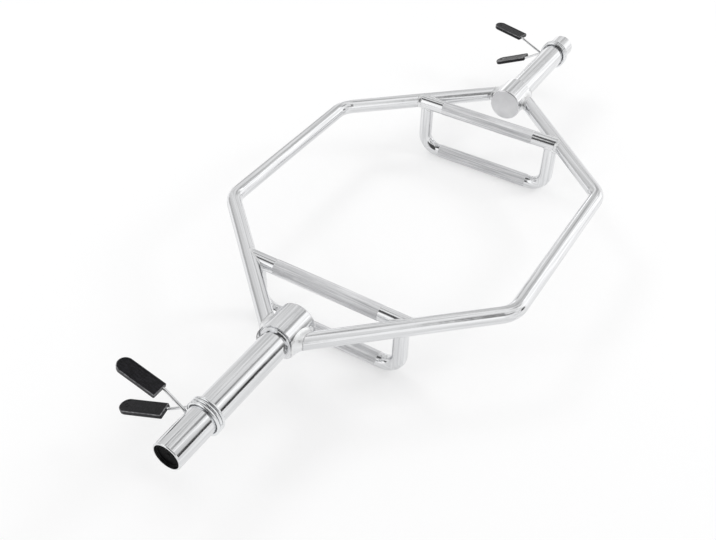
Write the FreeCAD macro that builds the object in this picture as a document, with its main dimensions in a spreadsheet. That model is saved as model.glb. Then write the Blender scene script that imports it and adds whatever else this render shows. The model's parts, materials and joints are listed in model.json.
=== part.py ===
import FreeCAD, Part
import Sketcher
import math
import os

# Hex trap bar with raised and dropped grips, loading sleeves and two spring collars.
# Millimetres, Z up. X runs along the bar, and the origin is on the floor under its middle.
# The bar stands on the lower runs of its two drop handles. Left is -X and front is -Y.

SIZES = {
    # whole bar
    "overall_length": 1424.0,
    "overall_width": 600.0,
    # loading sleeve: a tube with a thinner spigot that goes through the stop ring into the hub
    "sleeve_length": 257.0,
    "sleeve_dia": 50.0,
    "sleeve_wall": 3.0,
    "sleeve_round": 2.0,
    "spigot_relief": 1.0,
    "weld_gap": 0.1,
    # stop ring, hub tube and the plate that closes the hub
    "ring_width": 4.0,
    "ring_step": 3.0,
    "ring_round": 1.2,
    "hub_length": 57.0,
    "hub_gap": 3.0,
    "hub_wall": 5.0,
    "plate_thickness": 4.0,
    "plate_round": 2.5,
    # rails of the hexagon
    "rail_dia": 28.6,
    "rail_wall": 4.0,
    "rail_bend": 50.0,
    "rail_gap": 3.0,
    "diagonal_span": 261.0,
    # raised grip bars and drop handles
    "bar_dia": 28.0,
    "bar_wall": 4.0,
    "bar_gap": 69.0,
    "drop_height": 108.0,
    "drop_dia": 27.0,
    "drop_wall": 4.0,
    "drop_bend": 34.0,
    "leg_inset": 19.0,
    # end caps
    "cap_depth": 18.0,
    "cap_face": 3.0,
    "cap_wall": 2.5,
    "cap_recess": 3.5,
    "cap_clearance": 0.05,
    "cap_round": 1.2,
    # spring collar wire
    "wire_dia": 5.0,
    "coil_clearance": 0.85,
    "coil_gap": 0.6,
    "coil_turns": 3.0,
    "outer_leave": -20.0,
    "inner_leave": 12.0,
    "arm_rise": 12.5,
    "arm_bend": 8.0,
    "arm_lead": 4.0,
    # collar grips
    "grip_length": 79.0,
    "grip_width": 28.0,
    "grip_thickness": 8.0,
    "grip_round": 1.8,
    "socket_depth": 30.0,
    "socket_clearance": 0.05,
    # where the grips stand around the sleeve, in the collar's own frame
    "outer_shift": -9.0,
    "outer_reach": 74.0,
    "outer_rise": 17.3,
    "outer_slope": 14.5,
    "outer_tilt": 0.0,
    "outer_wire_offset": 6.5,
    "inner_shift": -3.4,
    "inner_reach": 77.0,
    "inner_rise": -34.5,
    "inner_slope": -13.3,
    "inner_tilt": 13.5,
    "inner_wire_offset": 5.5,
    # where the collars sit: from the sleeve's free end, and turned about the sleeve
    "left_collar_inset": 85.4,
    "right_collar_inset": 51.0,
    "left_collar_roll": 0.0,
    "right_collar_roll": -11.0,
}

# places worked out from the sizes; X places are on the right half of the bar
LAYOUT = {
    "axis_height": "sizes.drop_height + sizes.drop_dia / 2",
    "end_x": "sizes.overall_length / 2",
    "ring_x": "layout.end_x - sizes.sleeve_length",
    "hub_x": "layout.ring_x - sizes.ring_width",
    "plate_x": "layout.hub_x - sizes.hub_length",
    "sleeve_bore": "sizes.sleeve_dia - 2 * sizes.sleeve_wall",
    "spigot_dia": "sizes.sleeve_dia - 2 * sizes.spigot_relief",
    "hub_bore": "sizes.sleeve_dia + 2 * sizes.hub_gap",
    "hub_dia": "layout.hub_bore + 2 * sizes.hub_wall",
    "ring_dia": "layout.hub_dia - 2 * sizes.ring_step",
    "ring_bore": "layout.spigot_dia + 2 * sizes.weld_gap",
    "cap_dia": "layout.sleeve_bore - 2 * sizes.cap_clearance",
    "cap_bore": "layout.cap_dia - 2 * sizes.cap_wall",
    "rail_y": "sizes.overall_width / 2 - sizes.rail_dia / 2",
    "corner_x": "layout.hub_x - sizes.diagonal_span",
    # the outer edge of a slanting rail meets the hub's surface this far out
    "edge_span": "sizes.diagonal_span - sizes.rail_gap",
    "edge_drop": "layout.rail_y - layout.hub_dia / 2",
    "edge_reach": "sqrt(layout.edge_span ^ 2 + layout.edge_drop ^ 2)",
    "rail_turn": "atan2(layout.edge_drop; layout.edge_span) + asin(sizes.rail_dia / 2 / layout.edge_reach)",
    "rail_bore": "sizes.rail_dia - 2 * sizes.rail_wall",
    "rail_run": "sizes.rail_bend * tan(layout.rail_turn / 2)",
    "rail_straight": "layout.corner_x - layout.rail_run",
    "meet_x": "layout.corner_x + layout.rail_y / tan(layout.rail_turn)",
    "rail_out": "layout.meet_x - layout.corner_x - layout.rail_run * cos(layout.rail_turn)",
    "rail_down": "layout.rail_y - layout.rail_run * sin(layout.rail_turn)",
    "bar_x": "layout.plate_x - sizes.plate_thickness - sizes.bar_gap - sizes.bar_dia / 2",
    "bar_half": "(layout.meet_x - layout.bar_x) * tan(layout.rail_turn)",
    "leg_y": "layout.bar_half - sizes.leg_inset",
    "drop_bore": "sizes.drop_dia - 2 * sizes.drop_wall",
    "drop_straight": "layout.leg_y - sizes.drop_bend",
    "drop_down": "sizes.drop_height - sizes.drop_bend",
    "socket_dia": "sizes.wire_dia + 2 * sizes.socket_clearance",
    "grip_shoulder": "sizes.grip_length - sizes.grip_width / 2",
}
ANGLES = ("rail_turn",)

SIDES = (("left", -1), ("right", 1))
ORIGIN = FreeCAD.Vector(0, 0, 0)
AXIS_X = FreeCAD.Vector(1, 0, 0)
AXIS_Y = FreeCAD.Vector(0, 1, 0)
AXIS_Z = FreeCAD.Vector(0, 0, 1)
FULL_TURN = 360.0
QUARTER_TURN = 90.0
COIL_SAMPLES = 720
VOLUME_PERCENT = 0.2
SAME_PLACE = 0.01

doc = FreeCAD.newDocument("hex_trap_bar")
subparts = []


def make_sheet():
    sheet = doc.addObject("Spreadsheet::Sheet", "sizes")
    for row, (name, number) in enumerate(SIZES.items(), start=1):
        sheet.set(f"B{row}", str(number))
        sheet.setAlias(f"B{row}", name)
    doc.recompute()
    return sheet


def make_layout():
    places = doc.addObject("App::VarSet", "layout")
    for name in LAYOUT:
        kind = "App::PropertyAngle" if name in ANGLES else "App::PropertyFloat"
        places.addProperty(kind, name)
    for name, expression in LAYOUT.items():
        places.setExpression(name, expression)
    doc.recompute()
    return places


sizes = make_sheet()
layout = make_layout()


def size(name):
    return float(sizes.get(name))


def place(name):
    number = getattr(layout, name)
    return float(getattr(number, "Value", number))


def value(reference):
    """Number that a reference such as sizes.rail_dia or layout.hub_dia stands for."""
    group, name = reference.split(".")
    return size(name) if group == "sizes" else place(name)


def bind(item, expressions):
    for name, expression in expressions.items():
        item.setExpression(name, expression)


def keep(item, label):
    """Mark an object as a sub-part of the bar."""
    item.Label = label
    subparts.append(item)
    return item


def new_sketch(body, name, plane):
    sketch = body.newObject("Sketcher::SketchObject", name)
    planes = {feature.Role: feature for feature in body.Origin.OriginFeatures}
    sketch.AttachmentSupport = [(planes[plane], "")]
    sketch.MapMode = "FlatFace"
    return sketch


def constrain(sketch, *terms, expression=None):
    index = sketch.addConstraint(Sketcher.Constraint(*terms))
    if expression is not None:
        sketch.setExpression(f"Constraints[{index}]", expression)


def circle_sketch(body, name, plane, diameters, across=None):
    """Concentric circles on an origin plane, at its origin or moved along its first axis."""
    sketch = new_sketch(body, name, plane)
    centre = FreeCAD.Vector(value(across) if across else 0, 0, 0)
    for number, diameter in enumerate(diameters):
        sketch.addGeometry(Part.Circle(centre, AXIS_Z, value(diameter) / 2))
        constrain(sketch, "Diameter", number, value(diameter), expression=diameter)
        if number > 0:
            constrain(sketch, "Coincident", 0, 3, number, 3)
    constrain(sketch, "PointOnObject", 0, 3, -1)
    if across:
        constrain(sketch, "DistanceX", -1, 1, 0, 3, value(across), expression=across)
    else:
        constrain(sketch, "PointOnObject", 0, 3, -2)
    return sketch


def add_pad(body, name, sketch, length, inward=False):
    pad = body.newObject("PartDesign::Pad", name)
    pad.Profile = sketch
    pad.Reversed = inward
    pad.setExpression("Length", length)
    doc.recompute()
    return pad


def round_edges(body, feature, radius, wanted):
    """Fillet the edges of a feature that the test picks."""
    names = []
    for number, edge in enumerate(feature.Shape.Edges, start=1):
        if wanted(edge):
            names.append(f"Edge{number}")
    fillet = body.newObject("PartDesign::Fillet", feature.Name + "_round")
    fillet.Base = (feature, names)
    fillet.setExpression("Radius", radius)
    body.Tip = fillet
    doc.recompute()
    return fillet


def is_rim(edge, diameter, along=None):
    """Whether an edge is a full circle of that diameter, at a height along the body's axis."""
    curve = edge.Curve
    if not isinstance(curve, Part.Circle) or abs(curve.Radius - diameter / 2) > SAME_PLACE:
        return False
    return along is None or abs(curve.Center.z - along) < SAME_PLACE


def axial_body(label, side, along):
    """Body whose own Z points outward along the bar, at that X place on its half."""
    body = doc.addObject("PartDesign::Body", label)
    body.Placement = FreeCAD.Placement(ORIGIN, FreeCAD.Rotation(AXIS_Y, side * QUARTER_TURN))
    bind(body, {"Placement.Base.x": f"{side} * ({along})", "Placement.Base.z": "layout.axis_height"})
    return keep(body, label)


def make_hub(name, side):
    body = axial_body(f"{name}_hub", side, "layout.plate_x")
    ring = circle_sketch(body, f"{name}_hub_section", "XY_Plane", ["layout.hub_dia", "layout.hub_bore"])
    add_pad(body, f"{name}_hub_tube", ring, "sizes.hub_length")


def make_hub_plate(name, side):
    body = axial_body(f"{name}_hub_plate", side, "layout.plate_x - sizes.plate_thickness")
    disc = circle_sketch(body, f"{name}_plate_outline", "XY_Plane", ["layout.hub_dia"])
    pad = add_pad(body, f"{name}_plate_disc", disc, "sizes.plate_thickness")
    hub_dia = place("hub_dia")
    round_edges(body, pad, "sizes.plate_round", lambda edge: is_rim(edge, hub_dia, 0))


def make_stop_ring(name, side):
    body = axial_body(f"{name}_stop_ring", side, "layout.hub_x")
    ring = circle_sketch(body, f"{name}_ring_section", "XY_Plane", ["layout.ring_dia", "layout.ring_bore"])
    pad = add_pad(body, f"{name}_ring_band", ring, "sizes.ring_width")
    ring_dia = place("ring_dia")
    round_edges(body, pad, "sizes.ring_round", lambda edge: is_rim(edge, ring_dia))


def make_sleeve(name, side):
    body = axial_body(f"{name}_sleeve", side, "layout.ring_x")
    thin = ["layout.spigot_dia", "layout.sleeve_bore"]
    spigot = circle_sketch(body, f"{name}_spigot_section", "XY_Plane", thin)
    add_pad(body, f"{name}_spigot", spigot, "sizes.ring_width + sizes.hub_length", inward=True)
    full = ["sizes.sleeve_dia", "layout.sleeve_bore"]
    tube = circle_sketch(body, f"{name}_sleeve_section", "XY_Plane", full)
    pad = add_pad(body, f"{name}_sleeve_tube", tube, "sizes.sleeve_length")
    sleeve_dia = size("sleeve_dia")
    free_end = size("sleeve_length")
    round_edges(body, pad, "sizes.sleeve_round", lambda edge: is_rim(edge, sleeve_dia, free_end))


def make_end_cap(name, side):
    """Plug with a flat face and a thin skirt; its own Z points into the sleeve."""
    body = axial_body(f"{name}_end_cap", side, "layout.end_x - sizes.cap_recess")
    body.Placement.Rotation = FreeCAD.Rotation(AXIS_Y, -side * QUARTER_TURN)
    skirt = circle_sketch(body, f"{name}_skirt_section", "XY_Plane", ["layout.cap_dia", "layout.cap_bore"])
    add_pad(body, f"{name}_cap_skirt", skirt, "sizes.cap_depth")
    disc = circle_sketch(body, f"{name}_face_outline", "XY_Plane", ["layout.cap_dia"])
    pad = add_pad(body, f"{name}_cap_face", disc, "sizes.cap_face")
    cap_dia = place("cap_dia")
    round_edges(body, pad, "sizes.cap_round", lambda edge: is_rim(edge, cap_dia, 0))


def path_sketch(body, name, run):
    """Straight run from the middle, one bend, and the run after it, square to the first by default."""
    sketch = new_sketch(body, name, "XY_Plane")
    offset = value(run["offset"])
    straight = value(run["straight"])
    bend = value(run["bend"])
    turn = math.radians(value(run["turn"]) if "turn" in run else QUARTER_TURN)
    bend_start = FreeCAD.Vector(straight, offset, 0)
    bend_centre = FreeCAD.Vector(straight, offset - bend, 0)
    bend_end = bend_centre + FreeCAD.Vector(math.sin(turn), math.cos(turn), 0) * bend
    tail = FreeCAD.Vector(value(run["out"]) if "out" in run else 0, -value(run["down"]), 0)
    sketch.addGeometry(Part.LineSegment(FreeCAD.Vector(0, offset, 0), bend_start))
    bend_circle = Part.Circle(bend_centre, AXIS_Z, bend)
    sketch.addGeometry(Part.ArcOfCircle(bend_circle, math.pi / 2 - turn, math.pi / 2))
    sketch.addGeometry(Part.LineSegment(bend_end, bend_end + tail))
    constrain(sketch, "PointOnObject", 0, 1, -2)
    constrain(sketch, "Horizontal", 0)
    constrain(sketch, "DistanceY", -1, 1, 0, 1, offset, expression=run["offset"])
    constrain(sketch, "DistanceX", 0, 1, 0, 2, straight, expression=run["straight"])
    constrain(sketch, "Tangent", 0, 2, 1, 2)
    constrain(sketch, "Tangent", 1, 1, 2, 1)
    constrain(sketch, "Radius", 1, bend, expression=run["bend"])
    if "out" in run:
        constrain(sketch, "DistanceX", 2, 1, 2, 2, tail.x, expression=run["out"])
    else:
        constrain(sketch, "Vertical", 2)
    constrain(sketch, "DistanceY", 2, 2, 2, 1, -tail.y, expression=run["down"])
    return sketch


def bent_body(name, run, diameters):
    """Tube, or bar where one diameter is given, bent alike on both sides of its middle."""
    body = doc.addObject("PartDesign::Body", name)
    path = path_sketch(body, f"{name}_path", run)
    section = circle_sketch(body, f"{name}_section", "YZ_Plane", diameters, across=run["offset"])
    doc.recompute()
    half = body.newObject("PartDesign::AdditivePipe", f"{name}_half")
    half.Profile = section
    half.Spine = (path, ["Edge1", "Edge2", "Edge3"])
    doc.recompute()
    planes = {feature.Role: feature for feature in body.Origin.OriginFeatures}
    whole = body.newObject("PartDesign::Mirrored", f"{name}_whole")
    whole.Originals = [half]
    whole.MirrorPlane = (planes["YZ_Plane"], [""])
    body.Tip = whole
    doc.recompute()
    return body


def cut(name, base, tools):
    for number, tool in enumerate(tools, start=1):
        result = doc.addObject("Part::Cut", f"{name}_cut_{number}")
        result.Base = base
        result.Tool = tool
        base = result
    doc.recompute()
    return base


RAIL_RUN = {
    "offset": "layout.rail_y",
    "straight": "layout.rail_straight",
    "bend": "sizes.rail_bend",
    "turn": "layout.rail_turn",
    "out": "layout.rail_out",
    "down": "layout.rail_down",
}

DROP_RUN = {
    "offset": "sizes.drop_height",
    "straight": "layout.drop_straight",
    "bend": "sizes.drop_bend",
    "down": "layout.drop_down",
}


def rail_body(name, half_turns, diameters):
    body = bent_body(name, RAIL_RUN, diameters)
    body.Placement = FreeCAD.Placement(ORIGIN, FreeCAD.Rotation(AXIS_Z, 2 * QUARTER_TURN * half_turns))
    bind(body, {"Placement.Base.z": "layout.axis_height"})
    return body


def make_rails():
    """Both rails, coped to the hubs; gives the rails' outlines as cutting tools."""
    hub_core = doc.addObject("Part::Cylinder", "hub_core")
    hub_core.Placement = FreeCAD.Placement(ORIGIN, FreeCAD.Rotation(AXIS_Y, QUARTER_TURN))
    bind(hub_core, {
        "Radius": "layout.hub_dia / 2",
        "Height": "sizes.overall_length",
        "Placement.Base.x": "-layout.end_x",
        "Placement.Base.z": "layout.axis_height",
    })
    rail_cores = []
    for name, half_turns in (("back", 0), ("front", 1)):
        rail_cores.append(rail_body(f"{name}_rail_core", half_turns, ["sizes.rail_dia"]))
        tube = rail_body(f"{name}_rail_tube", half_turns, ["sizes.rail_dia", "layout.rail_bore"])
        keep(cut(f"{name}_rail", tube, [hub_core]), f"{name}_rail")
    return rail_cores


def bar_cylinder(name, side, radius):
    cylinder = doc.addObject("Part::Cylinder", name)
    cylinder.Placement = FreeCAD.Placement(ORIGIN, FreeCAD.Rotation(AXIS_X, -QUARTER_TURN))
    bind(cylinder, {
        "Radius": radius,
        "Height": "2 * layout.bar_half",
        "Placement.Base.x": f"{side} * layout.bar_x",
        "Placement.Base.y": "-layout.bar_half",
        "Placement.Base.z": "layout.axis_height",
    })
    return cylinder


def make_grips_of_bar(name, side, rail_cores):
    """Raised grip bar between the rails, and the drop handle welded under its ends."""
    bar_core = bar_cylinder(f"{name}_bar_core", side, "sizes.bar_dia / 2")
    bar_bore = bar_cylinder(f"{name}_bar_bore", side, "sizes.bar_dia / 2 - sizes.bar_wall")
    keep(cut(f"{name}_grip_bar", bar_core, [bar_bore] + rail_cores), f"{name}_grip_bar")
    drop = bent_body(f"{name}_drop_tube", DROP_RUN, ["sizes.drop_dia", "layout.drop_bore"])
    hanging = FreeCAD.Rotation(AXIS_Y, -AXIS_Z, -AXIS_X, "XYZ")
    drop.Placement = FreeCAD.Placement(ORIGIN, hanging)
    bind(drop, {"Placement.Base.x": f"{side} * layout.bar_x", "Placement.Base.z": "layout.axis_height"})
    keep(cut(f"{name}_drop_handle", drop, [bar_core] + rail_cores), f"{name}_drop_handle")


def corner_arc(start, corner, end):
    """Arc from start to end whose tangents meet at the corner, the same distance from both."""
    middle = (start + end) / 2
    chord = end - start
    lean = (corner - start).getAngle(chord)
    out = (corner - middle).normalize()
    return Part.Arc(start, middle + out * (chord.Length / 2 * math.tan(lean / 2)), end).toShape()


def biarc(start, start_way, end, end_way):
    """Two tangent arcs that leave start and reach end along the given unit directions."""
    chord = end - start
    ways = start_way + end_way
    square = 2 * start_way.dot(end_way) - 2
    middle = -2 * chord.dot(ways)
    last = chord.dot(chord)
    reach = (-middle - math.sqrt(middle * middle - 4 * square * last)) / (2 * square)
    first_corner = start + start_way * reach
    second_corner = end - end_way * reach
    joint = (first_corner + second_corner) / 2
    return [corner_arc(start, first_corner, joint), corner_arc(joint, second_corner, end)]


def rounded_path(points, radius):
    """Straight runs through the points with a tangent arc at each inner one."""
    edges = []
    start = points[0]
    for before, corner, after in zip(points, points[1:], points[2:]):
        back = (before - corner).normalize()
        on = (after - corner).normalize()
        run = radius * math.tan((math.pi - back.getAngle(on)) / 2)
        edges.append(Part.LineSegment(start, corner + back * run).toShape())
        edges.append(corner_arc(corner + back * run, corner, corner + on * run))
        start = corner + on * run
    edges.append(Part.LineSegment(start, points[-1]).toShape())
    return edges


def wire_solid(label, path, start, way):
    """Round wire swept along a path, with its volume compared with section times length."""
    section = Part.Wire([Part.Circle(start, way, size("wire_dia") / 2).toShape()])
    solid = path.makePipeShell([section], True, False)
    if solid.Volume < 0:
        solid.reverse()
    expected = math.pi * (size("wire_dia") / 2) ** 2 * path.Length
    if abs(solid.Volume / expected - 1) * 100 > VOLUME_PERCENT:
        raise RuntimeError(f"{label} has volume {solid.Volume}, not {expected}")
    return solid


def add_wire(label, solid, placement):
    item = doc.addObject("Part::Feature", label)
    item.Shape = solid
    item.Placement = placement
    return keep(item, label)


def coil_radius():
    return size("sleeve_dia") / 2 + size("coil_clearance") + size("wire_dia") / 2


def coil_sweep():
    """Angle that the coil turns through from its outer to its inner end, in degrees."""
    return size("outer_leave") - size("inner_leave") + FULL_TURN * size("coil_turns")


def coil_point(turned):
    """Point and direction on the coil's centreline after turning through an angle in degrees."""
    pitch = size("wire_dia") + size("coil_gap")
    angle = math.radians(size("outer_leave") - turned)
    along = pitch * (turned - coil_sweep() / 2) / FULL_TURN
    across = coil_radius() * math.cos(angle)
    up = coil_radius() * math.sin(angle)
    way = FreeCAD.Vector(pitch / math.tau, up, -across)
    return FreeCAD.Vector(along, across, up), way.normalize()


def least_gap(path):
    """Least gap between the wire's own turns, measured on points of its centreline."""
    points = path.discretize(Number=COIL_SAMPLES)
    step = path.Length / (COIL_SAMPLES - 1)
    apart = int(math.pi * coil_radius() / step)
    nearest = min(point.distanceToPoint(other)
                  for number, point in enumerate(points) for other in points[number + apart:])
    return nearest - size("wire_dia")


def coil_solid(label):
    spans = round(coil_sweep() / QUARTER_TURN)
    stops = [coil_point(coil_sweep() * number / spans) for number in range(spans + 1)]
    first, first_way = stops[0]
    last, last_way = stops[-1]
    straight = size("wire_dia")
    tip = first - first_way * straight
    edges = [Part.LineSegment(tip, first).toShape()]
    for (start, start_way), (end, end_way) in zip(stops, stops[1:]):
        edges += biarc(start, start_way, end, end_way)
    edges.append(Part.LineSegment(last, last + last_way * straight).toShape())
    path = Part.Wire(edges)
    print(f"{label}: least gap between turns {least_gap(path):.3f} mm")
    return wire_solid(label, path, tip, first_way)


def grip_frame(which):
    """Placement of a grip in the collar's frame: X across it, Y along it, origin at its base."""
    slope = math.radians(size(f"{which}_slope"))
    tilt = math.radians(size(f"{which}_tilt"))
    outward = FreeCAD.Vector(0, math.cos(slope), math.sin(slope))
    along = outward * math.cos(tilt) - AXIS_X * math.sin(tilt)
    across = AXIS_X * math.cos(tilt) + outward * math.sin(tilt)
    base = FreeCAD.Vector(size(f"{which}_shift"), size(f"{which}_reach"), size(f"{which}_rise"))
    return FreeCAD.Placement(base, FreeCAD.Rotation(across, along, across.cross(along), "XYZ"))


def arm_solid(label, which):
    """Arm from the straight end of the coil, round one bend, into the socket of its grip."""
    end, way = coil_point(0) if which == "outer" else coil_point(coil_sweep())
    leave = -way if which == "outer" else way
    frame = grip_frame(which)
    offset = size(f"{which}_wire_offset")
    points = [
        end + leave * size("wire_dia"),
        end + leave * size("arm_rise"),
        frame.multVec(FreeCAD.Vector(offset, -size("arm_lead"), 0)),
        frame.multVec(FreeCAD.Vector(offset, size("socket_depth"), 0)),
    ]
    path = Part.Wire(rounded_path(points, size("arm_bend")))
    return wire_solid(label, path, points[0], leave)


def make_collar_grip(label, which, placement):
    """Flat plastic grip with a round far end, a square base and a socket for the wire."""
    body = doc.addObject("PartDesign::Body", label)
    outline = new_sketch(body, f"{label}_outline", "XY_Plane")
    half = size("grip_width") / 2
    shoulder = place("grip_shoulder")
    corners = [(-half, shoulder), (-half, 0), (half, 0), (half, shoulder)]
    points = [FreeCAD.Vector(across, along, 0) for across, along in corners]
    for start, end in zip(points, points[1:]):
        outline.addGeometry(Part.LineSegment(start, end))
    tip = Part.Circle(FreeCAD.Vector(0, shoulder, 0), AXIS_Z, half)
    outline.addGeometry(Part.ArcOfCircle(tip, 0, math.pi))
    constrain(outline, "Coincident", 0, 2, 1, 1)
    constrain(outline, "Coincident", 1, 2, 2, 1)
    constrain(outline, "Tangent", 2, 2, 3, 1)
    constrain(outline, "Tangent", 3, 2, 0, 1)
    constrain(outline, "Vertical", 0)
    constrain(outline, "Vertical", 2)
    constrain(outline, "Symmetric", 1, 1, 1, 2, -1, 1)
    constrain(outline, "DistanceX", 1, 1, 1, 2, 2 * half, expression="sizes.grip_width")
    constrain(outline, "DistanceY", -1, 1, 3, 3, shoulder, expression="layout.grip_shoulder")
    outline.setExpression("AttachmentOffset.Base.z", "-sizes.grip_thickness / 2")
    pad = add_pad(body, f"{label}_slab", outline, "sizes.grip_thickness")
    round_edges(body, pad, "sizes.grip_round", lambda edge: edge.BoundBox.ZLength < SAME_PLACE)
    before = body.Shape.Volume
    offset = f"sizes.{which}_wire_offset"
    mouth = circle_sketch(body, f"{label}_mouth", "XZ_Plane", ["layout.socket_dia"], across=offset)
    socket = body.newObject("PartDesign::Pocket", f"{label}_socket")
    socket.Profile = mouth
    socket.setExpression("Length", "sizes.socket_depth")
    doc.recompute()
    removed = before - body.Shape.Volume
    if removed < size("socket_depth") * size("wire_dia") ** 2 / 2:
        raise RuntimeError(f"{label} socket removes only {removed}")
    body.Placement = placement.multiply(grip_frame(which))
    doc.recompute()
    return keep(body, label)


def make_collar(name, side):
    """Spring collar; the one on the right is the left one turned end for end."""
    middle_x = side * (place("end_x") - size(f"{name}_collar_inset"))
    middle = FreeCAD.Vector(middle_x, 0, place("axis_height"))
    turned = FreeCAD.Rotation(AXIS_X, size(f"{name}_collar_roll"))
    if side > 0:
        turned = turned.multiply(FreeCAD.Rotation(AXIS_Y, 2 * QUARTER_TURN))
    placement = FreeCAD.Placement(middle, turned)
    add_wire(f"{name}_collar_coil", coil_solid(f"{name}_collar_coil"), placement)
    for which in ("outer", "inner"):
        arm = f"{name}_{which}_arm"
        add_wire(arm, arm_solid(arm, which), placement)
        make_collar_grip(f"{name}_{which}_grip", which, placement)


def check_document():
    for item in doc.Objects:
        if "Invalid" in item.State or "Error" in item.State:
            raise RuntimeError(f"{item.Label} failed: {item.State}")
    for item in subparts:
        shape = item.Shape
        if shape.isNull() or not shape.isValid() or len(shape.Solids) != 1:
            raise RuntimeError(f"{item.Label} is not one valid solid")


def write_steps():
    os.makedirs("parts", exist_ok=True)
    for item in subparts:
        item.Shape.exportStep(os.path.join("parts", f"{item.Label}.step"))


rail_cores = make_rails()
for side_name, side_sign in SIDES:
    make_hub(side_name, side_sign)
    make_hub_plate(side_name, side_sign)
    make_stop_ring(side_name, side_sign)
    make_sleeve(side_name, side_sign)
    make_end_cap(side_name, side_sign)
    make_grips_of_bar(side_name, side_sign, rail_cores)
    make_collar(side_name, side_sign)
doc.recompute()
check_document()
write_steps()
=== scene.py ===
import json
import math

import bmesh
import bpy
from mathutils import Matrix, Vector


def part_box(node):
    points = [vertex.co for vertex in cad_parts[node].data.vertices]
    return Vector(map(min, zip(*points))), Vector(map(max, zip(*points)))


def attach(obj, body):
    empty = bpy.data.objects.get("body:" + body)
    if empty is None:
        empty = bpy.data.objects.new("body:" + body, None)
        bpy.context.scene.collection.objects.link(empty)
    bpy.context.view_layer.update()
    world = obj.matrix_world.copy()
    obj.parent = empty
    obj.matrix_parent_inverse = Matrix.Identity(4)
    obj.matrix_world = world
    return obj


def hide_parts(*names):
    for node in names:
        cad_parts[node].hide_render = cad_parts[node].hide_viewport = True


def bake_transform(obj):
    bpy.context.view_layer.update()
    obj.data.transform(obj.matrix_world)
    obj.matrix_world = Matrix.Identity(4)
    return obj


# Looks of a chromed hex trap bar with knurled grips and two spring collars.
# Metres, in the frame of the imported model: X along the bar, Z up, origin on the floor.

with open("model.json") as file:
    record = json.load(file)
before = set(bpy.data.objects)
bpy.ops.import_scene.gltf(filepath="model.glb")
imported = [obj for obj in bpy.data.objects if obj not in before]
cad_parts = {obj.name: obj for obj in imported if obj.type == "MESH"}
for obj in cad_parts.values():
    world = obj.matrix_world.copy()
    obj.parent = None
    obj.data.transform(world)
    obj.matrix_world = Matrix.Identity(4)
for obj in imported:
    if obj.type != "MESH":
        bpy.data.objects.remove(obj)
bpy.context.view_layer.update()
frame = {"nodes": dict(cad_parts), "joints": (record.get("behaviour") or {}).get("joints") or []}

SIDES = (("left", -1), ("right", 1))
ENDS = (("front", -1), ("back", 1))
LEVERS = ("outer", "inner")

# sizes of the bar that its boxes don't give
DIAGONAL_SPAN = 0.261
RAIL_GAP = 0.003
KNURL_HALF = 0.103

# sizes of the spring collar's wire, with its angles in degrees
WIRE_RADIUS = 0.0025
COIL_CLEARANCE = 0.00085
COIL_GAP = 0.0006
COIL_TURNS = 3
OUTER_LEAVE = -20.0
INNER_LEAVE = 12.0
COLLAR_ROLL = {"left": 0.0, "right": -11.0}

# sizes and places of the collar's grips, with their angles in degrees
GRIP_LENGTH = 0.079
GRIP_WIDTH = 0.028
GRIP_THICKNESS = 0.008
GRIPS = {
    "outer": {"base": (-0.009, 0.074, 0.0173), "slope": 14.5, "tilt": 0.0},
    "inner": {"base": (-0.0034, 0.077, -0.0345), "slope": -13.3, "tilt": 13.5},
}


def box_size(node):
    low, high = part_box(node)
    return Vector(high) - Vector(low)


def box_middle(node):
    low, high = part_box(node)
    return (Vector(high) + Vector(low)) / 2


AXIS_Z = box_middle("left_hub").z
SLEEVE_RADIUS = box_size("left_sleeve").y / 2
HUB_RADIUS = box_size("left_hub").y / 2
HUB_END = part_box("right_hub")[1][0]
RAIL_RADIUS = box_size("back_rail").z / 2
RAIL_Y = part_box("back_rail")[1][1] - RAIL_RADIUS
BAR_X = box_middle("right_grip_bar").x
BAR_RADIUS = box_size("right_grip_bar").z / 2
DROP_RADIUS = box_size("right_drop_handle").x / 2
LEG_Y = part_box("right_drop_handle")[1][1] - DROP_RADIUS

# where the centreline of a slanting rail turns and where it would meet the bar's axis
CORNER_X = HUB_END - DIAGONAL_SPAN
EDGE_SPAN = DIAGONAL_SPAN - RAIL_GAP
EDGE_DROP = RAIL_Y - HUB_RADIUS
RAIL_TURN = math.atan2(EDGE_DROP, EDGE_SPAN) + math.asin(RAIL_RADIUS / math.hypot(EDGE_SPAN, EDGE_DROP))
MEET_X = CORNER_X + RAIL_Y / math.tan(RAIL_TURN)


# node helpers

class Nodes:
    """A node tree, with short calls for the nodes used here."""

    def __init__(self, tree):
        self.tree = tree

    def node(self, kind, **settings):
        node = self.tree.nodes.new(kind)
        for key, setting in settings.items():
            setattr(node, key, setting)
        return node

    def link(self, source, target):
        self.tree.links.new(source, target)

    def feed(self, source, socket):
        """Set a socket to a number, or link another node to it."""
        if isinstance(source, (int, float)):
            socket.default_value = source
        else:
            self.link(source, socket)

    def maths(self, operation, first, second=0.0):
        node = self.node("ShaderNodeMath", operation=operation)
        for socket, source in zip(node.inputs, (first, second)):
            self.feed(source, socket)
        return node.outputs["Value"]

    def split(self, vector):
        """The three coordinates of a vector."""
        node = self.node("ShaderNodeSeparateXYZ")
        self.link(vector, node.inputs["Vector"])
        return node.outputs["X"], node.outputs["Y"], node.outputs["Z"]

    def join(self, *coordinates):
        """A vector from its first coordinates; the others are 0."""
        node = self.node("ShaderNodeCombineXYZ")
        for socket, source in zip(node.inputs, coordinates):
            self.link(source, socket)
        return node.outputs["Vector"]


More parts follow.
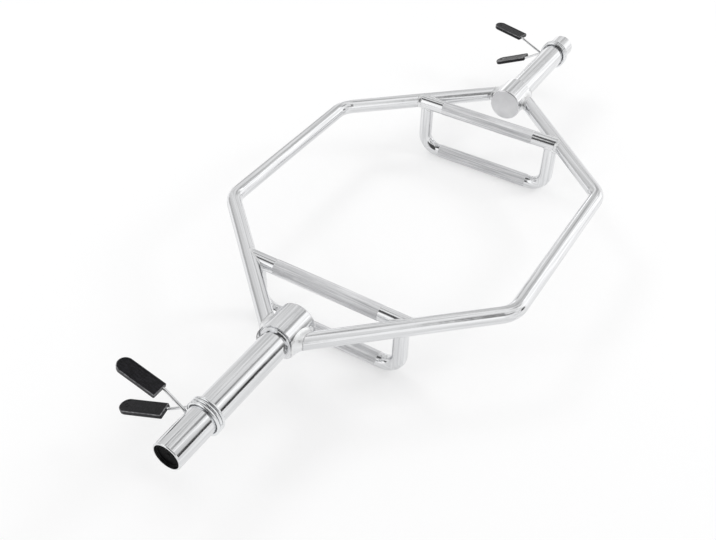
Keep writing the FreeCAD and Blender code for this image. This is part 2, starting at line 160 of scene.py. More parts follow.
class Shader(Nodes):
    """A material's node tree round its Principled shader."""

    def __init__(self, name, colour):
        self.material = bpy.data.materials.new(name)
        self.material.use_nodes = True
        self.material.diffuse_color = (*colour, 1)
        super().__init__(self.material.node_tree)
        self.base = self.tree.nodes["Principled BSDF"]
        self.base.inputs["Base Color"].default_value = (*colour, 1)
        self.where = self.node("ShaderNodeTexCoord").outputs["Object"]

    def set(self, **sockets):
        """Constants on the shader's own sockets."""
        for name, number in sockets.items():
            self.base.inputs[name.replace("_", " ")].default_value = number

    def stretched(self, scale):
        """Object coordinates scaled apart on each axis."""
        mapping = self.node("ShaderNodeMapping")
        mapping.inputs["Scale"].default_value = scale
        self.link(self.where, mapping.inputs["Vector"])
        return mapping.outputs["Vector"]

    def noise(self, scale, detail=3.0, roughness=0.5, where=None):
        noise = self.node("ShaderNodeTexNoise")
        noise.inputs["Scale"].default_value = scale
        noise.inputs["Detail"].default_value = detail
        noise.inputs["Roughness"].default_value = roughness
        self.link(where or self.where, noise.inputs["Vector"])
        return noise.outputs["Fac"]

    def spread(self, source, low, high, start=0.3, end=0.7):
        """A source, from start to end, spread over another range."""
        spread = self.node("ShaderNodeMapRange")
        for socket, number in (("From Min", start), ("From Max", end), ("To Min", low), ("To Max", high)):
            spread.inputs[socket].default_value = number
        self.link(source, spread.inputs["Value"])
        return spread.outputs["Result"]

    def tint(self, source, dark, light, start=0.3, end=0.7):
        """Colour that follows a source, from dark at its start to light at its end."""
        share = self.spread(source, 0, 1, start, end)
        mix = self.node("ShaderNodeMix", data_type="RGBA")
        mix.inputs["A"].default_value = (*dark, 1)
        mix.inputs["B"].default_value = (*light, 1)
        self.link(share, mix.inputs["Factor"])
        self.link(mix.outputs["Result"], self.base.inputs["Base Color"])

    def bump(self, source, strength, distance):
        bump = self.node("ShaderNodeBump")
        bump.inputs["Strength"].default_value = strength
        bump.inputs["Distance"].default_value = distance
        self.link(source, bump.inputs["Height"])
        self.link(bump.outputs["Normal"], self.base.inputs["Normal"])

    def rough(self, source):
        self.link(source, self.base.inputs["Roughness"])


# coordinates that follow each kind of piece

LINES_ACROSS = 260
LINES_ALONG = 6
TURNING_LINES = 900


def along_x(shader):
    return shader.stretched((LINES_ALONG, LINES_ACROSS, LINES_ACROSS))


def along_y(shader):
    return shader.stretched((LINES_ACROSS, LINES_ALONG, LINES_ACROSS))


def along_rail(shader):
    """Coordinates that run with a rail: slowly along, how far outside its centreline, and height."""
    maths = shader.maths
    x, y, z = shader.split(shader.where)
    far_x = maths("ABSOLUTE", x)
    far_y = maths("ABSOLUTE", y)
    slant = maths("ADD", maths("MULTIPLY", far_x, math.sin(RAIL_TURN)),
                  maths("MULTIPLY", far_y, math.cos(RAIL_TURN)))
    outside = maths("MAXIMUM", maths("SUBTRACT", far_y, RAIL_Y),
                    maths("SUBTRACT", slant, MEET_X * math.sin(RAIL_TURN)))
    return shader.join(maths("MULTIPLY", x, LINES_ALONG), maths("MULTIPLY", outside, LINES_ACROSS),
                       maths("MULTIPLY", z, LINES_ACROSS))


def along_handle(shader):
    """Coordinates that run with a drop handle: slowly along, how far outside its legs and bar, and X."""
    maths = shader.maths
    x, y, z = shader.split(shader.where)
    beyond_leg = maths("SUBTRACT", maths("ABSOLUTE", y), LEG_Y)
    under_bar = maths("SUBTRACT", DROP_RADIUS, z)
    outside = maths("MAXIMUM", beyond_leg, under_bar)
    along = maths("ADD", y, z)
    return shader.join(maths("MULTIPLY", along, LINES_ALONG), maths("MULTIPLY", outside, LINES_ACROSS),
                       maths("MULTIPLY", x, LINES_ACROSS))


def axis_place(shader):
    """The place along the bar's long axis, and the distance from it."""
    x, y, z = shader.split(shader.where)
    height = shader.maths("SUBTRACT", z, AXIS_Z)
    squares = [shader.maths("MULTIPLY", source, source) for source in (y, height)]
    return x, shader.maths("SQRT", shader.maths("ADD", *squares))


def turned(shader):
    """Coordinates that are the same all the way round the bar's long axis."""
    along, radius = axis_place(shader)
    return shader.join(shader.maths("MULTIPLY", radius, TURNING_LINES),
                       shader.maths("MULTIPLY", along, TURNING_LINES))


# materials

LINE_DEPTH = 0.25
WAVE_SCALE = 35
WAVE_DEPTH = 0.0002
KNURL_STREAKS = (260, 5, 260)
PLATE_FACE = 0.0305
PLATE_POLISH = 0.0012
PLATE_EDGE_SHINE = 0.3
GRIP_SCUFFS = (420, 70, 420)


def chrome(name, run):
    """Plated and polished: a soft mirror with polishing lines along the tube's run and slight waves."""
    shader = Shader(name, (0.75, 0.755, 0.765))
    shader.set(Metallic=1.0)
    lines = shader.noise(scale=1, detail=4, roughness=0.6, where=run(shader))
    waves = shader.noise(scale=WAVE_SCALE, detail=2, roughness=0.5)
    line_rough = shader.spread(lines, low=0.05, high=0.14)
    wave_rough = shader.spread(waves, low=0.0, high=0.04)
    shader.rough(shader.maths("ADD", line_rough, wave_rough))
    shader.tint(lines, dark=(0.62, 0.625, 0.635), light=(0.88, 0.885, 0.895))
    height = shader.maths("ADD", waves, shader.maths("MULTIPLY", lines, LINE_DEPTH))
    shader.bump(height, strength=1.0, distance=WAVE_DEPTH)
    return shader.material


def weld_metal():
    """Plated weld: the same chrome over a slightly uneven bead, so it is softer than the tubes."""
    shader = Shader("plated_weld", (0.8, 0.805, 0.81))
    shader.set(Metallic=1.0)
    grain = shader.noise(scale=240, detail=3)
    shader.tint(shader.noise(scale=90), dark=(0.78, 0.785, 0.79), light=(0.88, 0.885, 0.89))
    shader.rough(shader.spread(grain, low=0.26, high=0.4))
    shader.bump(grain, strength=0.15, distance=0.0002)
    return shader.material


def spring_steel(name, dark, light):
    """Plated spring wire with drawing marks."""
    shader = Shader(name, dark)
    shader.set(Metallic=1.0)
    marks = shader.noise(scale=320, detail=4)
    shader.rough(shader.spread(marks, low=0.08, high=0.2))
    shader.tint(shader.noise(scale=40), dark, light)
    shader.bump(marks, strength=0.1, distance=0.0001)
    return shader.material


def knurled_steel():
    """Knurled chrome: partly matte, because its facets scatter light, with streaks along the grip."""
    shader = Shader("knurled_chrome", (0.68, 0.682, 0.694))
    shader.set(Metallic=0.45, Specular_IOR_Level=0.2)
    streaks = shader.noise(scale=1, detail=6, roughness=0.8, where=shader.stretched(KNURL_STREAKS))
    shader.tint(streaks, dark=(0.46, 0.462, 0.475), light=(0.92, 0.922, 0.932), start=0.38, end=0.62)
    shader.rough(shader.spread(shader.noise(scale=500, detail=4), low=0.3, high=0.46))
    return shader.material


def satin_steel():
    """Turned plate: fine rings round the bar's axis, and a polished round edge."""
    shader = Shader("satin_plate", (0.74, 0.74, 0.75))
    shader.set(Metallic=1.0)
    radius = axis_place(shader)[1]
    rings = shader.noise(scale=1, detail=3, where=turned(shader))
    edge = shader.spread(radius, low=0, high=1, start=PLATE_FACE, end=PLATE_FACE + PLATE_POLISH)
    shader.tint(shader.noise(scale=35), dark=(0.7, 0.7, 0.71), light=(0.79, 0.79, 0.8))
    ring_rough = shader.spread(rings, low=0.36, high=0.52)
    shader.rough(shader.maths("SUBTRACT", ring_rough, shader.maths("MULTIPLY", edge, PLATE_EDGE_SHINE)))
    shader.bump(rings, strength=0.2, distance=0.0001)
    return shader.material


def plastic(name, dark, light, rough_low, rough_high, specular):
    """Moulded plastic with a fine grain, and scuffs that run with the hand along the grip."""
    shader = Shader(name, dark)
    shader.set(Specular_IOR_Level=specular)
    grain = shader.noise(scale=1400, detail=3)
    scuffs = shader.noise(scale=1, detail=5, roughness=0.65, where=shader.stretched(GRIP_SCUFFS))
    shader.tint(scuffs, dark, light, start=0.42, end=0.66)
    shader.rough(shader.spread(scuffs, rough_low, rough_high))
    shader.bump(grain, strength=0.25, distance=0.00012)
    return shader.material


RING_CHROME = chrome("ring_chrome", turned)
HANDLE_CHROME = chrome("handle_chrome", along_handle)
SLEEVE_CHROME = chrome("sleeve_chrome", along_x)
RAIL_CHROME = chrome("rail_chrome", along_rail)
BAR_CHROME = chrome("bar_chrome", along_y)
SPRING = spring_steel("plated_spring_wire", dark=(0.74, 0.75, 0.76), light=(0.86, 0.87, 0.88))
# The arms are the coil's own wire in a darker copy: a painted dark reflection, the dark line along the
# middle of thin polished wire.
ARM_WIRE_PAINTED_DARK = spring_steel("arm_wire_painted_dark", dark=(0.62, 0.625, 0.635), light=(0.8, 0.805, 0.815))
WELD = weld_metal()
KNURL = knurled_steel()
SATIN = satin_steel()
CAP_PLASTIC = plastic("cap_plastic", dark=(0.001, 0.001, 0.0014), light=(0.0028, 0.0028, 0.0032),
                      rough_low=0.4, rough_high=0.55, specular=0.03)
GRIP_PLASTIC = plastic("grip_plastic", dark=(0.0022, 0.0022, 0.0032), light=(0.012, 0.012, 0.015),
                       rough_low=0.1, rough_high=0.22, specular=0.22)
# Chamfer rim: far lighter than the grip's plastic, a painted highlight along the grip's edges.
GRIP_RIM_PAINTED_HIGHLIGHT = plastic("rim_painted_highlight_plastic", dark=(0.07, 0.07, 0.075), light=(0.32, 0.32, 0.33),
                   rough_low=0.16, rough_high=0.3, specular=0.5)


# mesh helpers

SHARP_EDGE = math.radians(30)


def add_mesh(name, points, faces, material, smooth=True):
    mesh = bpy.data.meshes.new(name)
    mesh.from_pydata([tuple(point) for point in points], [], faces)
    mesh.materials.append(material)
    mesh.polygons.foreach_set("use_smooth", [smooth] * len(mesh.polygons))
    mesh.update()
    piece = bpy.data.objects.new(name, mesh)
    bpy.context.scene.collection.objects.link(piece)
    return piece


def skin(rings, ends="caps"):
    """Points and faces of a skin over closed rings: capped at both ends, or closed on itself."""
    count = len(rings[0])
    points = [point for ring in rings for point in ring]
    faces = []
    spans = len(rings) if ends == "loop" else len(rings) - 1
    for row in range(spans):
        here = row * count
        there = (row + 1) % len(rings) * count
        for column in range(count):
            beside = (column + 1) % count
            faces.append((here + column, here + beside, there + beside, there + column))
    if ends == "caps":
        faces.append(tuple(reversed(range(count))))
        faces.append(tuple(range(len(points) - count, len(points))))
    return points, faces


def face_outward(piece):
    """Turn the faces of a closed mesh so that they look out."""
    work = bmesh.new()
    work.from_mesh(piece.data)
    bmesh.ops.recalc_face_normals(work, faces=work.faces)
    work.to_mesh(piece.data)
    work.free()


def settle(piece, body):
    face_outward(piece)
    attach(piece, body)


# weld beads

RAIL_WELD = 0.012
HANDLE_WELD = 0.004
WELD_STEPS = 96
WELD_CURVE = 7
WELD_SINK = 0.0004

# share of the width, waves round the tube and phase of each ripple in a bead's width
WELD_RIPPLES = ((0.025, 23, 0.0), (0.03, 7, 1.0))


def weld_ring(name, foot, tube, width):
    """Smooth fillet where a tube meets a round bar: foot and tube are (point, direction, radius)."""
    foot_point, foot_way, foot_radius = foot
    tube_point, tube_way, tube_radius = tube
    first = tube_way.orthogonal().normalized()
    second = tube_way.cross(first)
    rings = []
    for step in range(WELD_STEPS):
        angle = math.tau * step / WELD_STEPS
        around = first * math.cos(angle) + second * math.sin(angle)
        start = tube_point + around * tube_radius - foot_point
        flat_start = start - foot_way * start.dot(foot_way)
        flat_way = tube_way - foot_way * tube_way.dot(foot_way)
        square = flat_way.dot(flat_way)
        half = flat_start.dot(flat_way)
        rest = flat_start.dot(flat_start) - foot_radius ** 2
        run = (-half + math.sqrt(max(half * half - square * rest, 0))) / square
        corner = foot_point + start + tube_way * run
        across = corner - foot_point
        normal = (across - foot_way * across.dot(foot_way)).normalized()
        ripple = 1
        for depth, waves, phase in WELD_RIPPLES:
            ripple += depth * math.sin(waves * angle + phase)
        away = (around - normal * around.dot(normal)).normalized()
        on_foot = corner + away * width * ripple - foot_point
        along = foot_way * on_foot.dot(foot_way)
        on_foot = foot_point + along + (on_foot - along).normalized() * foot_radius
        on_tube = corner + tube_way * width * ripple
        ring = []
        for number in range(WELD_CURVE + 1):
            share = number / WELD_CURVE
            bend = corner * 2 * share * (1 - share)
            ring.append(on_foot * (1 - share) ** 2 + bend + on_tube * share ** 2)
        ring.append(corner - (normal + around) * WELD_SINK)
        rings.append(ring)
    piece = add_mesh(name, *skin(rings, "loop"), WELD)
    settle(piece, "bar")


def make_welds():
    axis_point = Vector((0, 0, AXIS_Z))
    hub = (axis_point, Vector((1, 0, 0)), HUB_RADIUS)
    for side, sign in SIDES:
        bar_point = Vector((sign * BAR_X, 0, AXIS_Z))
        along_bar = (bar_point, Vector((0, 1, 0)), BAR_RADIUS)
        meet = Vector((sign * MEET_X, 0, AXIS_Z))
        for end, front in ENDS:
            corner = Vector((sign * CORNER_X, front * RAIL_Y, AXIS_Z))
            rail = (meet, (corner - meet).normalized(), RAIL_RADIUS)
            weld_ring(f"{side}_{end}_rail_weld", hub, rail, RAIL_WELD)
            leg_point = bar_point + Vector((0, front * LEG_Y, 0))
            bar = (leg_point, Vector((0, -front, 0)), BAR_RADIUS)
            weld_ring(f"{side}_{end}_bar_weld", rail, bar, HANDLE_WELD)
            leg = (leg_point, Vector((0, 0, -1)), DROP_RADIUS)
            weld_ring(f"{side}_{end}_leg_weld", along_bar, leg, HANDLE_WELD)


# knurled grips

KNURL_PITCH = 0.0009
KNURL_DEPTH = 0.00028
KNURL_LIFT = 0.00002
KNURL_ROOT = 0.0004


def make_knurl(name, middle, radius):
    """Diamond knurl round a straight grip along Y: a closed band of small pyramids."""
    columns = 2 * round(math.tau * radius / KNURL_PITCH / 2)
    rows = 2 * round(KNURL_HALF / KNURL_PITCH)

    def place(row, column, reach):
        along = KNURL_HALF * (2 * row / rows - 1)
        angle = math.tau * column / columns
        return middle + Vector((reach * math.cos(angle), along, reach * math.sin(angle)))

    points = []
    for row in range(rows + 1):
        edge = row in (0, rows)
        for column in range(columns):
            raised = (row + column) % 2 == 0 and not edge
            points.append(place(row, column, radius + KNURL_LIFT + (KNURL_DEPTH if raised else 0)))
    for row in (0, rows):
        points += [place(row, column, radius - KNURL_ROOT) for column in range(columns)]
    faces = []
    for row in range(rows):
        for column in range(columns):
            beside = (column + 1) % columns
            a, b = row * columns + column, row * columns + beside
            c, d = b + columns, a + columns
            faces += [(a, b, d), (b, c, d)] if (row + column) % 2 == 0 else [(a, b, c), (a, c, d)]
    last = rows * columns
    root = (rows + 1) * columns
    for column in range(columns):
        beside = (column + 1) % columns
        faces.append((column, root + column, root + beside, beside))
        faces.append((last + column, last + beside, root + columns + beside, root + columns + column))
        faces.append((root + column, root + columns + column, root + columns + beside, root + beside))
    piece = add_mesh(name, points, faces, KNURL, smooth=False)
    settle(piece, "bar")


def make_knurls():
    for side, sign in SIDES:
        make_knurl(f"{side}_raised_knurl", Vector((sign * BAR_X, 0, AXIS_Z)), BAR_RADIUS)
        make_knurl(f"{side}_dropped_knurl", Vector((sign * BAR_X, 0, DROP_RADIUS)), DROP_RADIUS)


# stop rings

RING_STEPS = 128
RING_CURVE = 12
RING_CROWN = 0.0009
RING_SINK = 0.0026
RING_SHARP_EDGE = math.radians(60)


def make_ring(side):
    """Turned stop ring with a crowned band, in the place of the plain one."""
    low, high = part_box(f"{side}_stop_ring")
    outer = (high.y - low.y) / 2
    half = (high.x - low.x) / 2
    centre = Vector(((high.x + low.x) / 2, 0, AXIS_Z))
    profile = [(-half, SLEEVE_RADIUS - RING_SINK)]
    for step in range(RING_CURVE + 1):
        angle = math.pi * step / RING_CURVE
        profile.append((-half * math.cos(angle), outer - RING_CROWN * (1 - math.sin(angle))))
    profile.append((half, SLEEVE_RADIUS - RING_SINK))
    rings = []
    for step in range(RING_STEPS):
        angle = math.tau * step / RING_STEPS
        around = Vector((0, math.cos(angle), math.sin(angle)))
        rings.append([centre + Vector((along, 0, 0)) + around * reach for along, reach in profile])
    piece = add_mesh(f"{side}_crowned_ring", *skin(rings, "loop"), RING_CHROME)
    piece.data.set_sharp_from_angle(angle=RING_SHARP_EDGE)
    settle(piece, "bar")
    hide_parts(f"{side}_stop_ring")


# end caps

CAP_STEPS = 96
CAP_CURVE = 6
CAP_ROUND = 0.0012
CAP_RIM = 0.0035
CAP_DISH = 0.0012
CAP_SLOPE = 0.0014
CAP_BUTTON = 0.0022
CAP_BUTTON_RISE = 0.0005


def cap_profile(radius, depth):
    """Radii and depths below the face, from the cap's middle out over its rim and down its skirt."""
    dish = radius - CAP_RIM
    rows = [(CAP_BUTTON, CAP_DISH - CAP_BUTTON_RISE), (CAP_BUTTON + CAP_BUTTON_RISE, CAP_DISH)]
    rows += [(dish - CAP_SLOPE, CAP_DISH), (dish, 0)]
    for number in range(CAP_CURVE + 1):
        angle = math.pi / 2 * number / CAP_CURVE
        rows.append((radius - CAP_ROUND * (1 - math.sin(angle)), CAP_ROUND * (1 - math.cos(angle))))
    return rows + [(radius, depth)]


def make_cap(side, sign):
    """Moulded end cap with a raised rim round a shallow dish, in the place of the plain one."""
    low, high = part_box(f"{side}_end_cap")
    radius = (high.y - low.y) / 2
    face = high.x if sign > 0 else low.x
    rings = []
    for reach, depth in cap_profile(radius, high.x - low.x):
        ring = []
        for step in range(CAP_STEPS):
            angle = math.tau * step / CAP_STEPS
            around = Vector((0, math.cos(angle), math.sin(angle)))
            ring.append(Vector((face - sign * depth, 0, AXIS_Z)) + around * reach)
        rings.append(ring)
    piece = add_mesh(f"{side}_moulded_cap", *skin(rings), CAP_PLASTIC)
    piece.data.set_sharp_from_angle(angle=SHARP_EDGE)
    settle(piece, "bar")
    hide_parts(f"{side}_end_cap")


def make_rings_and_caps():
    for side, sign in SIDES:
        make_ring(side)
        make_cap(side, sign)


# coils of the spring collars

COIL_SWEEP = OUTER_LEAVE - INNER_LEAVE + 360 * COIL_TURNS
COIL_RADIUS = SLEEVE_RADIUS + COIL_CLEARANCE + WIRE_RADIUS
COIL_PITCH = 2 * WIRE_RADIUS + COIL_GAP
COIL_STEP = 5.0
WIRE_SIDES = 24


def collar_place(side, sign):
    """Matrix from the collar's own frame, with the coil's middle at its origin."""
    joint = next(joint for joint in frame["joints"] if joint["name"] == f"{side}_outer_squeeze")
    roll = Matrix.Rotation(math.radians(COLLAR_ROLL[side]), 4, "X")
    turn = Matrix.Rotation(math.pi if sign > 0 else 0, 4, "Y")
    return Matrix.Translation(Vector(joint["pos_m"])) @ roll @ turn


def coil_section(swept, beyond=0.0):
    """Ring round the wire after it has swept an angle, or further along its straight end."""
    angle = math.radians(OUTER_LEAVE - swept)
    out = Vector((0, math.cos(angle), math.sin(angle)))
    centre = out * COIL_RADIUS + Vector((COIL_PITCH * (swept - COIL_SWEEP / 2) / 360, 0, 0))
    way = Vector((COIL_PITCH / math.tau, COIL_RADIUS * math.sin(angle), -COIL_RADIUS * math.cos(angle)))
    way.normalize()
    side = way.cross(out)
    ring = []
    for number in range(WIRE_SIDES):
        around = math.tau * number / WIRE_SIDES
        spoke = out * math.cos(around) + side * math.sin(around)
        ring.append(centre + way * beyond + spoke * WIRE_RADIUS)
    return ring


def make_coil(side, place):
    """Both halves of the coil; each twists from the middle to the arm at its own end."""
    steps = round(COIL_SWEEP / 2 / COIL_STEP)
    straight = 2 * WIRE_RADIUS
    for which in LEVERS:
        end, way = (0.0, -straight) if which == "outer" else (COIL_SWEEP, straight)
        rings = [coil_section(end, way), coil_section(end, way / 2)]
        rings += [coil_section(end + (COIL_SWEEP / 2 - end) * step / steps) for step in range(steps + 1)]
        rings = [[place @ point for point in ring] for ring in rings]
        piece = add_mesh(f"{side}_{which}_half_coil", *skin(rings), SPRING)
        face_outward(piece)
        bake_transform(piece)
        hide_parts(f"{side}_collar_coil")


# collar grips

GRIP_CHAMFER = 0.0011
GRIP_CORNER = 0.0016
LEAST_CORNER = 0.0003
PANEL_INSET = 0.0032
PANEL_DEPTH = 0.0006
PANEL_SLOPE = 0.0005
PANEL_FLOOR = GRIP_THICKNESS / 2 - PANEL_DEPTH
SHOULDER = GRIP_LENGTH - GRIP_WIDTH / 2
TIP_STEPS = 28
CORNER_STEPS = 5
CHAMFER_ROW = 2
RIB_PITCH = 0.0042
RIB_WIDTH = 0.0016
RIB_HEIGHT = 0.0004
RIB_SINK = 0.0002
RIB_FIRST = 0.0105
RIB_LAST = 0.058
RIB_STEPS = 8
MARK_PLACE = 0.0665
MARK_RADIUS = 0.0032
MARK_WIRE = 0.0005
MARK_STEPS = 32
MARK_SIDES = 8


def grip_outline(inset, height):
    """Outline of the grip, drawn in by an inset: round far end and square base."""
    half = GRIP_WIDTH / 2 - inset
    corner = max(GRIP_CORNER - inset, LEAST_CORNER)
    points = []
    for number in range(TIP_STEPS + 1):
        angle = math.pi * number / TIP_STEPS
        points.append(Vector((half * math.cos(angle), SHOULDER + half * math.sin(angle), height)))
    for sign, start in ((-1, math.pi), (1, 1.5 * math.pi)):
        for number in range(CORNER_STEPS + 1):
            angle = start + math.pi / 2 * number / CORNER_STEPS
            centre = Vector((sign * (half - corner), inset + corner, height))
            points.append(centre + Vector((math.cos(angle), math.sin(angle), 0)) * corner)
    return points


def grip_profile():
    """Insets and heights from one panel, over the chamfered edge, to the other panel."""
    top = GRIP_THICKNESS / 2
    rows = [(PANEL_INSET + PANEL_SLOPE, PANEL_FLOOR), (PANEL_INSET, top),
            (GRIP_CHAMFER, top), (0, top - GRIP_CHAMFER)]
    return rows + [(inset, -height) for inset, height in reversed(rows)]


def rib_rings(along, face):
    """Low rounded rib across a panel; face is 1 on top and -1 underneath."""
    half = GRIP_WIDTH / 2 - PANEL_INSET - PANEL_SLOPE
    if along > SHOULDER:
        half = math.sqrt(half ** 2 - (along - SHOULDER) ** 2)
    rings = []
    for across in (-half + RIB_WIDTH / 2, half - RIB_WIDTH / 2):
        ring = []
        for number in range(RIB_STEPS + 1):
            angle = math.pi * number / RIB_STEPS
            rise = PANEL_FLOOR - RIB_SINK + (RIB_HEIGHT + RIB_SINK) * math.sin(angle)
            ring.append(Vector((across, along + RIB_WIDTH / 2 * math.cos(angle), face * rise)))
        rings.append(ring)
    return rings


def mark_rings(face):
    """Small raised ring that the mould leaves near the grip's round end."""
    rings = []
    for step in range(MARK_STEPS):
        angle = math.tau * step / MARK_STEPS
        out = Vector((math.cos(angle), math.sin(angle), 0))
        ring = []
        for number in range(MARK_SIDES):
            turn = math.tau * number / MARK_SIDES
            reach = MARK_RADIUS + MARK_WIRE * math.cos(turn)
            rise = face * (PANEL_FLOOR + MARK_WIRE * math.sin(turn))
            ring.append(Vector((0, MARK_PLACE, rise)) + out * reach)
        rings.append(ring)
    return rings


def grip_place(which):
    """Matrix from the grip's own frame, Y along it and Z out of its upper face, to the collar's frame."""
    values = GRIPS[which]
    slope = math.radians(values["slope"])
    tilt = math.radians(values["tilt"])
    outward = Vector((0, math.cos(slope), math.sin(slope)))
    inward = Vector((1, 0, 0))
    along = outward * math.cos(tilt) - inward * math.sin(tilt)
    across = inward * math.cos(tilt) + outward * math.sin(tilt)
    axes = Matrix((across, along, across.cross(along))).transposed().to_4x4()
    return Matrix.Translation(Vector(values["base"])) @ axes


def make_grip(side, which, place):
    """Moulded grip with ribbed panels and a chamfer painted light as a highlight, in the place of the plain
    one.
    """
    stand = place @ grip_place(which)
    profile = grip_profile()
    shells = [skin([grip_outline(inset, height) for inset, height in profile])]
    ribs = int((RIB_LAST - RIB_FIRST) / RIB_PITCH) + 1
    for face in (1, -1):
        shells += [skin(rib_rings(RIB_FIRST + RIB_PITCH * number, face)) for number in range(ribs)]
        shells.append(skin(mark_rings(face), "loop"))
    points, faces = [], []
    for shell_points, shell_faces in shells:
        faces += [tuple(len(points) + index for index in face) for face in shell_faces]
        points += shell_points
    placed = [stand @ point for point in points]
    piece = add_mesh(f"{side}_{which}_moulded_grip", placed, faces, GRIP_PLASTIC)
    piece.data.materials.append(GRIP_RIM_PAINTED_HIGHLIGHT)
    outline = len(grip_outline(0, 0))
    # The chamfer rows take the rim material, painted light as a highlight.
    for chamfer in (CHAMFER_ROW, len(profile) - 2 - CHAMFER_ROW):
        for polygon in piece.data.polygons[outline * chamfer:outline * (chamfer + 1)]:
            polygon.material_index = 1
    piece.data.set_sharp_from_angle(angle=SHARP_EDGE)
    settle(piece, f"{side}_{which}_lever")
    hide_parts(f"{side}_{which}_grip")


def make_collars():
    for side, sign in SIDES:
        place = collar_place(side, sign)
        make_coil(side, place)
        for which in LEVERS:
            make_grip(side, which, place)


# finish of the CAD pieces

def finish_nodes():
    """Give each CAD node the material that the last word of its name asks for."""
    finishes = {"rail": RAIL_CHROME, "hub": SLEEVE_CHROME, "ring": RING_CHROME, "sleeve": SLEEVE_CHROME,
                "bar": BAR_CHROME, "handle": HANDLE_CHROME, "plate": SATIN, "cap": CAP_PLASTIC,
                "arm": ARM_WIRE_PAINTED_DARK, "coil": SPRING, "grip": GRIP_PLASTIC}
    for name, node in frame["nodes"].items():
        material = finishes[name.split("_")[-1]]
        for slot in node.material_slots:
            slot.material = material


# floor

FLOOR_EDGE = 30.0
FLOOR_WHITE = 0.43
FLOOR_NEAR = 1.3
FLOOR_FAR = 4.0


def make_floor():
    """Pale floor that keeps the shadows; what is seen of it is drawn towards white, most of all far out."""
    corners = [(x * FLOOR_EDGE, y * FLOOR_EDGE, 0) for x, y in ((-1, -1), (1, -1), (1, 1), (-1, 1))]
    shader = Shader("pale_floor", (0.965, 0.965, 0.967))
    shader.set(Specular_IOR_Level=0.0)
    shader.tint(shader.noise(scale=0.8), dark=(0.962, 0.962, 0.965), light=(0.968, 0.968, 0.97))
    shader.rough(shader.spread(shader.noise(scale=4), low=0.8, high=0.95))
    path = shader.node("ShaderNodeLightPath")
    seen = shader.maths("MAXIMUM", path.outputs["Is Camera Ray"], path.outputs["Is Glossy Ray"])
    seen = shader.maths("MAXIMUM", seen, path.outputs["Is Transmission Ray"])
    away = shader.node("ShaderNodeVectorMath", operation="LENGTH")
    shader.link(shader.where, away.inputs[0])
    white_share = shader.spread(away.outputs["Value"], FLOOR_WHITE, 1.0, start=FLOOR_NEAR, end=FLOOR_FAR)
    white = shader.node("ShaderNodeEmission")
    mix = shader.node("ShaderNodeMixShader")
    shader.link(shader.maths("MULTIPLY", seen, white_share), mix.inputs["Fac"])
    shader.link(shader.base.outputs["BSDF"], mix.inputs[1])
    shader.link(white.outputs["Emission"], mix.inputs[2])
    shader.link(mix.outputs["Shader"], shader.tree.nodes["Material Output"].inputs["Surface"])
    add_mesh("floor", corners, [(0, 1, 2, 3)], shader.material, smooth=False)


# lamps: name, azimuth from +X towards +Y and elevation in degrees, width and height, and power in watts

LAMPS = (
    ("front_softbox", -51, 35, (0.9, 0.7), 12.5),
    ("back_softbox", 75, 50, (0.9, 0.7), 7.5),
    ("side_softbox", 150, 31, (0.6, 0.5), 5),
)
LAMP_DISTANCE = 2.8


def make_lamps():
    """Soft lamps aimed at the middle of the bar, which polished metal doesn't mirror."""
    for name, azimuth, elevation, size, power in LAMPS:
        lamp = bpy.data.lights.new(name, "AREA")
        lamp.shape = "RECTANGLE"
        lamp.size, lamp.size_y = size
        lamp.energy = power
        turn = math.radians(azimuth)
        rise = math.radians(elevation)
        away = Vector((math.cos(turn) * math.cos(rise), math.sin(turn) * math.cos(rise), math.sin(rise)))
        box = bpy.data.objects.new(name, lamp)
        box.location = away * LAMP_DISTANCE
        box.rotation_euler = away.to_track_quat("Z", "Y").to_euler()
        box.visible_glossy = False
        bpy.context.scene.collection.objects.link(box)


# what polished metal mirrors in the pale panels round the stage, patch by patch:
# azimuth from +X towards +Y, half width, lowest and highest elevation in degrees, and brightness

PATCHES = (
    (-166, 32, 8, 68, 0.08),
    (-124, 8, -8, 28, 1.2),
    (-114, 2, 28, 42, 0.3),
    (-107, 3, 43, 57, 0.25),
    (-95, 5, 58, 66, 0.45),
    (-98, 14, 32, 37, 0.25),
    (-75, 42, 62, 84, 1.15),
    (-62, 5, -4, 14, 0.05),
    (-59, 5, -3, 20, 0.65),
    (-36, 18, -8, 43, 1.38),
    (-31, 6, 45, 52, 0.55),
    (-32, 7, 54, 61, 0.42),
    (0, 13, 45, 51, 0.6),
    (-14, 5, 36, 40, 1.3),
    (-8, 14, 24, 31, 0.72),
    (10, 14, 69, 79, 0.6),
    (15, 7, 34, 41, 0.62),
    (25, 4, 50, 60, 0.75),
    (22, 5, 64, 73, 0.45),
    (29, 3, 2, 31, 0.76),
    (35, 2, -3, 9, 1.7),
    (48, 3, -8, 10, 0.6),
    (50, 8, 52, 62, 0.32),
    (68, 24, -8, 43, 0.86),
    (84, 7, -8, 16, 0.7),
    (119, 4, -3, 17, 0.06),
    (132, 30, 54, 75, 0.12),
    (146, 14, -8, 43, 1.4),
)
PANEL_LEVEL = 0.92
PATCH_SOFTNESS = 4.0
AMBIENT = 0.85


class World(Nodes):
    """The world's node tree, with the soft steps that the patches are made of."""

    def __init__(self):
        world = bpy.data.worlds.new("studio")
        bpy.context.scene.world = world
        world.use_nodes = True
        super().__init__(world.node_tree)
        self.tree.nodes.clear()

    def step(self, source, start, end):
        """0 below start, 1 above end and smooth between them."""
        node = self.node("ShaderNodeMapRange", interpolation_type="SMOOTHSTEP")
        node.inputs["From Min"].default_value = start
        node.inputs["From Max"].default_value = end
        self.link(source, node.inputs["Value"])
        return node.outputs["Result"]

    def mix(self, factor, first, second):
        node = self.node("ShaderNodeMix", data_type="FLOAT")
        for name, source in (("Factor", factor), ("A", first), ("B", second)):
            self.feed(source, node.inputs[name])
        return node.outputs["Result"]

    def height_step(self, height, low, high):
        """0 under one elevation in degrees, 1 over the other and smooth between them."""
        return self.step(height, math.sin(math.radians(low)), math.sin(math.radians(high)))


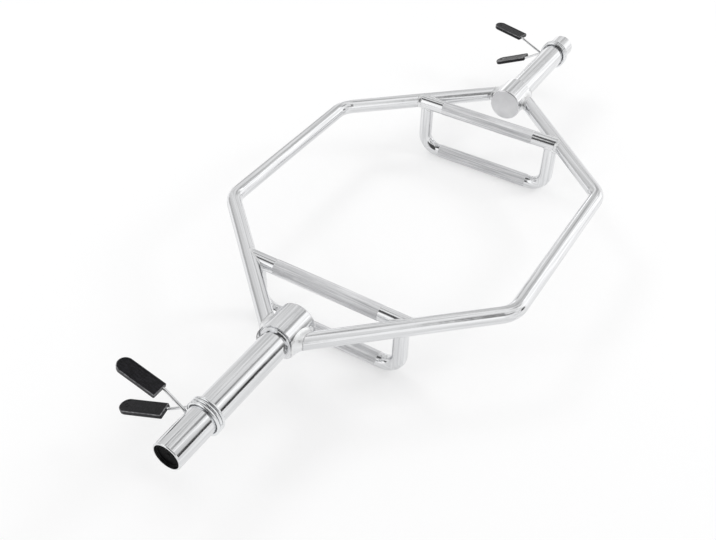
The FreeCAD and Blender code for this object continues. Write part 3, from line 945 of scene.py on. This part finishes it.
def make_world():
    """Pale panels all round: plain white to the camera, and patch by patch to polished metal."""
    world = World()
    x, y, height = world.split(world.node("ShaderNodeTexCoord").outputs["Generated"])
    flat = world.node("ShaderNodeVectorMath", operation="NORMALIZE")
    world.link(world.join(x, y), flat.inputs[0])
    panels = PANEL_LEVEL
    for azimuth, half, low, high, brightness in PATCHES:
        turn = math.radians(azimuth)
        facing = world.node("ShaderNodeVectorMath", operation="DOT_PRODUCT")
        world.link(flat.outputs["Vector"], facing.inputs[0])
        facing.inputs[1].default_value = (math.cos(turn), math.sin(turn), 0)
        inner = math.cos(math.radians(half))
        outer = math.cos(math.radians(half + PATCH_SOFTNESS))
        near = world.step(facing.outputs["Value"], outer, inner)
        over = world.height_step(height, low - PATCH_SOFTNESS, low)
        under = world.height_step(height, high, high + PATCH_SOFTNESS)
        inside = world.maths("MULTIPLY", near, world.maths("SUBTRACT", over, under))
        panels = world.maths("MULTIPLY", panels, world.mix(inside, 1.0, brightness))
    path = world.node("ShaderNodeLightPath")
    strength = world.mix(path.outputs["Is Glossy Ray"], AMBIENT, panels)
    seen = world.maths("MAXIMUM", path.outputs["Is Camera Ray"], path.outputs["Is Transmission Ray"])
    strength = world.mix(seen, strength, 1.0)
    background = world.node("ShaderNodeBackground")
    background.inputs["Color"].default_value = (1, 1, 1, 1)
    world.link(strength, background.inputs["Strength"])
    output = world.node("ShaderNodeOutputWorld")
    world.link(background.outputs["Background"], output.inputs["Surface"])


# camera

CAMERA_PLACE = Vector((-1.24351, -0.61292, 1.15116))
CAMERA_AIM = Vector((-0.23763, -0.01687, 0.1215))
CAMERA_ROLL = math.radians(1.544)
PHOTO_WIDTH = 716
FOCAL_PIXELS = 916.81
SENSOR = 36.0
CLIP_START = 0.01
CLIP_END = 100


def make_camera():
    forward = (CAMERA_AIM - CAMERA_PLACE).normalized()
    level = forward.cross(Vector((0, 0, 1))).normalized()
    right = level * math.cos(CAMERA_ROLL) + level.cross(forward) * math.sin(CAMERA_ROLL)
    turn = Matrix((right, right.cross(forward), -forward)).transposed().to_4x4()
    lens = bpy.data.cameras.new("camera")
    lens.sensor_fit = "HORIZONTAL"
    lens.sensor_width = SENSOR
    lens.lens = FOCAL_PIXELS / PHOTO_WIDTH * SENSOR
    lens.clip_start = CLIP_START
    lens.clip_end = CLIP_END
    camera = bpy.data.objects.new("camera", lens)
    camera.matrix_world = Matrix.Translation(CAMERA_PLACE) @ turn
    bpy.context.scene.collection.objects.link(camera)
    bpy.context.scene.camera = camera


finish_nodes()
make_welds()
make_knurls()
make_rings_and_caps()
make_collars()
make_floor()
make_lamps()
make_world()
make_camera()
bpy.context.scene.view_settings.view_transform = "Standard"
